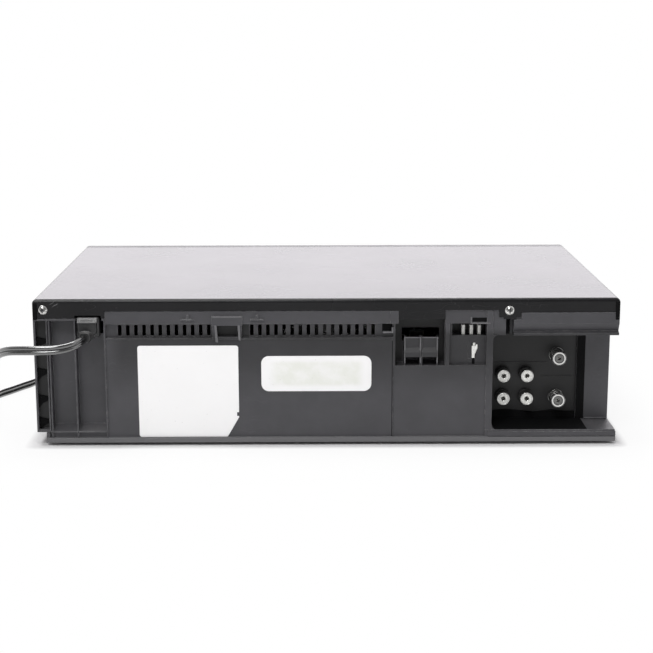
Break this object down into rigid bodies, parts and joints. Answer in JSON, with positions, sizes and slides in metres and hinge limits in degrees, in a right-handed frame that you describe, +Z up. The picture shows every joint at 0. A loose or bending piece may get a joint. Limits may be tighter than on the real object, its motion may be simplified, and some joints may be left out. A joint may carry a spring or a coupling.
{
  "type": "video_cassette_recorder",
  "caption": "Home video cassette recorder seen from behind: dark moulded chassis, steel cover, jack recess, blank labels, front flap and tape transport, flat mains lead with plug.",
  "frame": {"origin": "under the middle of the case, on the surface it stands on", "axes": "+Z up, the front panel and its door face -Y, the rear panel faces +Y, +X is to the right seen from the front"},
  "size_m": [0.4359, 0.3751, 0.0976],
  "materials": {
    "cover_paint": "fine textured semi-gloss",
    "chassis_plastic": "fine grained",
    "front_plastic": "satin",
    "black_plastic": "fine grained",
    "key_plastic": "satin",
    "white_plastic": "smooth",
    "gear_plastic": "smooth",
    "label_film": "satin",
    "cord_vinyl": "glossy",
    "foot_rubber": "matt",
    "belt_rubber": "matt",
    "smoked_lens": "glossy",
    "zinc_steel": "bright zinc plating",
    "nickel": "nickel plating",
    "blade_brass": "bright",
    "drum_aluminium": "fine turned",
    "sink_aluminium": "extruded",
    "board_laminate": "solder mask",
    "power_laminate": "bare laminate",
    "part_black": "moulded",
    "ferrite": "matt"
  },
  "bodies": {
    "case": {"chassis": "chassis_plastic", "top_cover": "cover_paint", "screws": "nickel", "rear_labels": "label_film", "jack_panel": "black_plastic", "phono_shells": "nickel", "phono_cores": "white_plastic", "connector_blocks": "black_plastic", "tuner_can": "zinc_steel", "aerial_connectors": "nickel", "white_pins": "white_plastic", "feet": "foot_rubber", "cord_bushing": "black_plastic", "power_cord": "cord_vinyl", "cord_coil": "cord_vinyl", "power_plug": "cord_vinyl", "plug_blades": "blade_brass", "front_panel": "front_plastic", "display_window": "smoked_lens", "front_board": "board_laminate", "main_board": "board_laminate", "board_parts": "part_black", "power_board": "power_laminate", "transformer": "ferrite", "heat_sink": "sink_aluminium", "deck_plate": "zinc_steel", "lower_drum": "drum_aluminium", "capstan_motor": "board_laminate", "drive_belt": "belt_rubber", "loading_motor": "zinc_steel", "tape_heads": "zinc_steel", "side_rails": "zinc_steel"},
    "door": {"cassette_door": "front_plastic", "door_spring": "zinc_steel"},
    "button_power_body": {"button_power": "key_plastic"},
    "button_rewind_body": {"button_rewind": "key_plastic"},
    "button_play_body": {"button_play": "key_plastic"},
    "button_forward_body": {"button_forward": "key_plastic"},
    "button_stop_body": {"button_stop": "key_plastic"},
    "button_eject_body": {"button_eject": "key_plastic"},
    "button_record_body": {"button_record": "key_plastic"},
    "button_channel_down_body": {"button_channel_down": "key_plastic"},
    "button_channel_up_body": {"button_channel_up": "key_plastic"},
    "drum": {"upper_drum": "drum_aluminium", "drum_motor": "drum_aluminium"},
    "capstan_shaft": {"capstan": "zinc_steel"},
    "pinch": {"pinch_arm": "zinc_steel"},
    "pinch_wheel": {"pinch_roller": "belt_rubber"},
    "reel_supply_table": {"reel_supply": "gear_plastic"},
    "reel_takeup_table": {"reel_takeup": "gear_plastic"},
    "idler_arm": {"idler": "gear_plastic"},
    "belt_wheel": {"idler_pulley": "gear_plastic"},
    "loading_worm": {"worm": "gear_plastic"},
    "cam": {"cam_gear": "gear_plastic"},
    "guide_supply_carriage": {"guide_supply": "gear_plastic"},
    "guide_takeup_carriage": {"guide_takeup": "gear_plastic"},
    "tension": {"tension_arm": "zinc_steel"},
    "impedance": {"impedance_roller": "gear_plastic"},
    "racks": {"holder_racks": "gear_plastic"},
    "holder": {"cassette_holder": "zinc_steel"}
  },
  "joints": [
    {"name": "door_hinge", "type": "hinge", "parent": "case", "child": "door", "pos_m": [0, -0.1105, 0.0844], "axis": [1, 0, 0], "range_deg": [0, 80], "stiffness_Nm_per_rad": 0.004, "springref_deg": -17.19},
    {"name": "button_power_press", "type": "slide", "parent": "case", "child": "button_power_body", "axis": [0, 1, 0], "range_m": [0, 0.0008], "stiffness_N_per_m": 400, "springref_m": -0.0006},
    {"name": "button_rewind_press", "type": "slide", "parent": "case", "child": "button_rewind_body", "axis": [0, 1, 0], "range_m": [0, 0.0008], "stiffness_N_per_m": 400, "springref_m": -0.0006},
    {"name": "button_play_press", "type": "slide", "parent": "case", "child": "button_play_body", "axis": [0, 1, 0], "range_m": [0, 0.0008], "stiffness_N_per_m": 400, "springref_m": -0.0006},
    {"name": "button_forward_press", "type": "slide", "parent": "case", "child": "button_forward_body", "axis": [0, 1, 0], "range_m": [0, 0.0008], "stiffness_N_per_m": 400, "springref_m": -0.0006},
    {"name": "button_stop_press", "type": "slide", "parent": "case", "child": "button_stop_body", "axis": [0, 1, 0], "range_m": [0, 0.0008], "stiffness_N_per_m": 400, "springref_m": -0.0006},
    {"name": "button_eject_press", "type": "slide", "parent": "case", "child": "button_eject_body", "axis": [0, 1, 0], "range_m": [0, 0.0008], "stiffness_N_per_m": 400, "springref_m": -0.0006},
    {"name": "button_record_press", "type": "slide", "parent": "case", "child": "button_record_body", "axis": [0, 1, 0], "range_m": [0, 0.0008], "stiffness_N_per_m": 400, "springref_m": -0.0006},
    {"name": "button_channel_down_press", "type": "slide", "parent": "case", "child": "button_channel_down_body", "axis": [0, 1, 0], "range_m": [0, 0.0008], "stiffness_N_per_m": 400, "springref_m": -0.0006},
    {"name": "button_channel_up_press", "type": "slide", "parent": "case", "child": "button_channel_up_body", "axis": [0, 1, 0], "range_m": [0, 0.0008], "stiffness_N_per_m": 400, "springref_m": -0.0006},
    {"name": "drum_spin", "type": "hinge", "parent": "case", "child": "drum", "pos_m": [0, 0.046, 0.05], "axis": [0.1038, 0, 0.9946], "continuous": true},
    {"name": "capstan_spin", "type": "hinge", "parent": "case", "child": "capstan_shaft", "pos_m": [0.062, 0.038, 0.02], "axis": [0, 0, 1], "continuous": true},
    {"name": "pinch_swing", "type": "hinge", "parent": "case", "child": "pinch", "pos_m": [0.09, 0.034, 0.034], "axis": [0, 0, -1], "range_deg": [0, 30], "stiffness_Nm_per_rad": 0.01, "springref_deg": -17.19},
    {"name": "pinch_roll", "type": "hinge", "parent": "pinch", "child": "pinch_wheel", "pos_m": [0.07201, 0.0187, 0.045], "axis": [0, 0, 1], "continuous": true},
    {"name": "reel_supply_spin", "type": "hinge", "parent": "case", "child": "reel_supply_table", "pos_m": [-0.045, -0.051, 0.036], "axis": [0, 0, 1], "continuous": true},
    {"name": "reel_takeup_spin", "type": "hinge", "parent": "case", "child": "reel_takeup_table", "pos_m": [0.045, -0.051, 0.036], "axis": [0, 0, 1], "continuous": true},
    {"name": "idler_swing", "type": "hinge", "parent": "case", "child": "idler_arm", "pos_m": [0, -0.066, 0.035], "axis": [0, 0, 1], "range_deg": [-24, 24]},
    {"name": "belt_wheel_spin", "type": "hinge", "parent": "case", "child": "belt_wheel", "pos_m": [0, -0.066, 0.026], "axis": [0, 0, 1], "continuous": true},
    {"name": "worm_spin", "type": "hinge", "parent": "case", "child": "loading_worm", "pos_m": [-0.074, 0.0723, 0.0425], "axis": [1, 0, 0], "continuous": true},
    {"name": "cam_turn", "type": "hinge", "parent": "case", "child": "cam", "pos_m": [-0.074, 0.05, 0.04], "axis": [0, 0, 1], "continuous": true},
    {"name": "guide_supply_run", "type": "slide", "parent": "case", "child": "guide_supply_carriage", "axis": [-0.1178, 0.993, 0], "range_m": [0, 0.05941]},
    {"name": "guide_takeup_run", "type": "slide", "parent": "case", "child": "guide_takeup_carriage", "axis": [0.1178, 0.993, 0], "range_m": [0, 0.05941]},
    {"name": "tension_swing", "type": "hinge", "parent": "case", "child": "tension", "pos_m": [-0.086, 0.012, 0.035], "axis": [0, 0, 1], "range_deg": [-25, 0], "stiffness_Nm_per_rad": 0.004, "springref_deg": 17.19},
    {"name": "impedance_roll", "type": "hinge", "parent": "case", "child": "impedance", "pos_m": [-0.056, 0.03, 0.045], "axis": [0, 0, 1], "continuous": true},
    {"name": "holder_in_out", "type": "slide", "parent": "case", "child": "racks", "axis": [0, 1, 0], "range_m": [-0.027, 0]},
    {"name": "holder_down", "type": "slide", "parent": "racks", "child": "holder", "axis": [0, 0, -1], "range_m": [0, 0.02]}
  ],
  "couplings": [
    {"joint": "worm_spin", "follows": "cam_turn", "ratio": 40},
    {"joint": "guide_takeup_run", "follows": "guide_supply_run", "ratio": 1},
    {"joint": "belt_wheel_spin", "follows": "capstan_spin", "ratio": 1}
  ]
}
